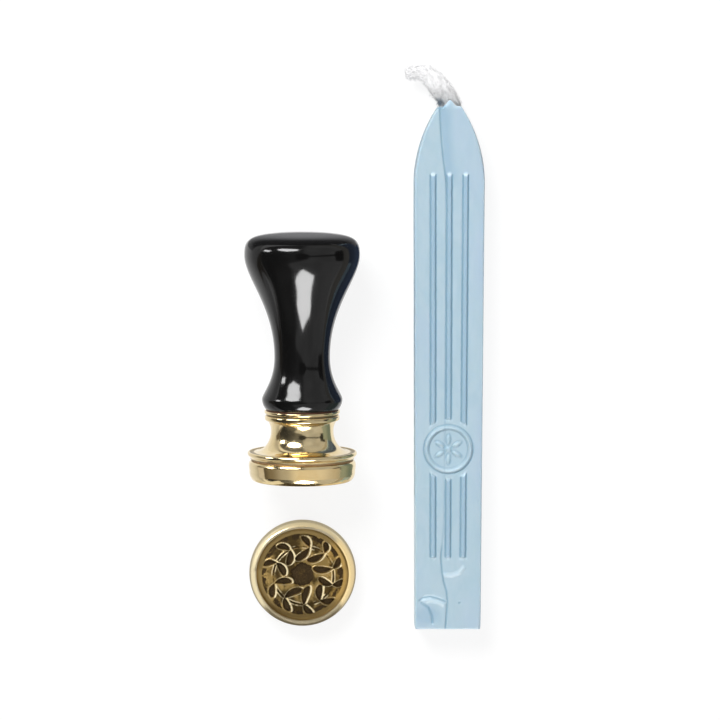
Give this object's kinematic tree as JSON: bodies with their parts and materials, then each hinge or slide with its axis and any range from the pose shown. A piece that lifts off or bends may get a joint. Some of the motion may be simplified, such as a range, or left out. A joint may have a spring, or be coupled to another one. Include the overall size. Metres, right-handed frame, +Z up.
{
  "type": "wax seal set",
  "caption": "Wax seal stamp with a waisted handle and screw-on engraved brass head, a loose second head, and a ribbed stick of sealing wax with a cotton wick.",
  "frame": {"origin": "under the middle of the whole set's box, on the surface that the set lies on", "axes": "+Z up; +Y along the wax stick towards its pointed end, and along the stamp towards its handle; +X from the stamp towards the wax stick"},
  "size_m": [0.0434, 0.1018, 0.0208],
  "materials": {
    "blue_wax": "satin",
    "white_cotton": "matte",
    "black_glaze": "gloss",
    "brown_cement": "matte",
    "polished_brass": "polished",
    "engraved_brass": "polished",
    "steel": "satin",
    "red_fibre": "matte"
  },
  "bodies": {
    "stick": {"wax_stick": "blue_wax", "wick": "white_cotton"},
    "stamp": {"handle": "black_glaze", "handle_cement": "brown_cement", "ferrule": "polished_brass", "head_stud": "steel"},
    "washer": {"fibre_washer": "red_fibre"},
    "head": {"seal_head": "polished_brass"},
    "spare": {"spare_head": "engraved_brass"}
  },
  "joints": [
    {"name": "stamp_lift", "type": "slide", "parent": "stick", "child": "stamp", "axis": [0, 0, 1], "range_m": [0, 0.03]},
    {"name": "spare_head_lift", "type": "slide", "parent": "stick", "child": "spare", "axis": [0, 0, 1], "range_m": [0, 0.03]},
    {"name": "head_travel", "type": "slide", "parent": "stamp", "child": "washer", "axis": [0, -0.9999, -0.0144], "range_m": [0, 0.004]},
    {"name": "head_unscrew", "type": "hinge", "parent": "washer", "child": "head", "pos_m": [-0.01132, -0.02343, 0.00981], "axis": [0, -0.9999, -0.0144], "range_deg": [0, 1440]}
  ],
  "couplings": [
    {"joint": "head_travel", "follows": "head_unscrew", "m_per_rad": 0.00015915}
  ]
}
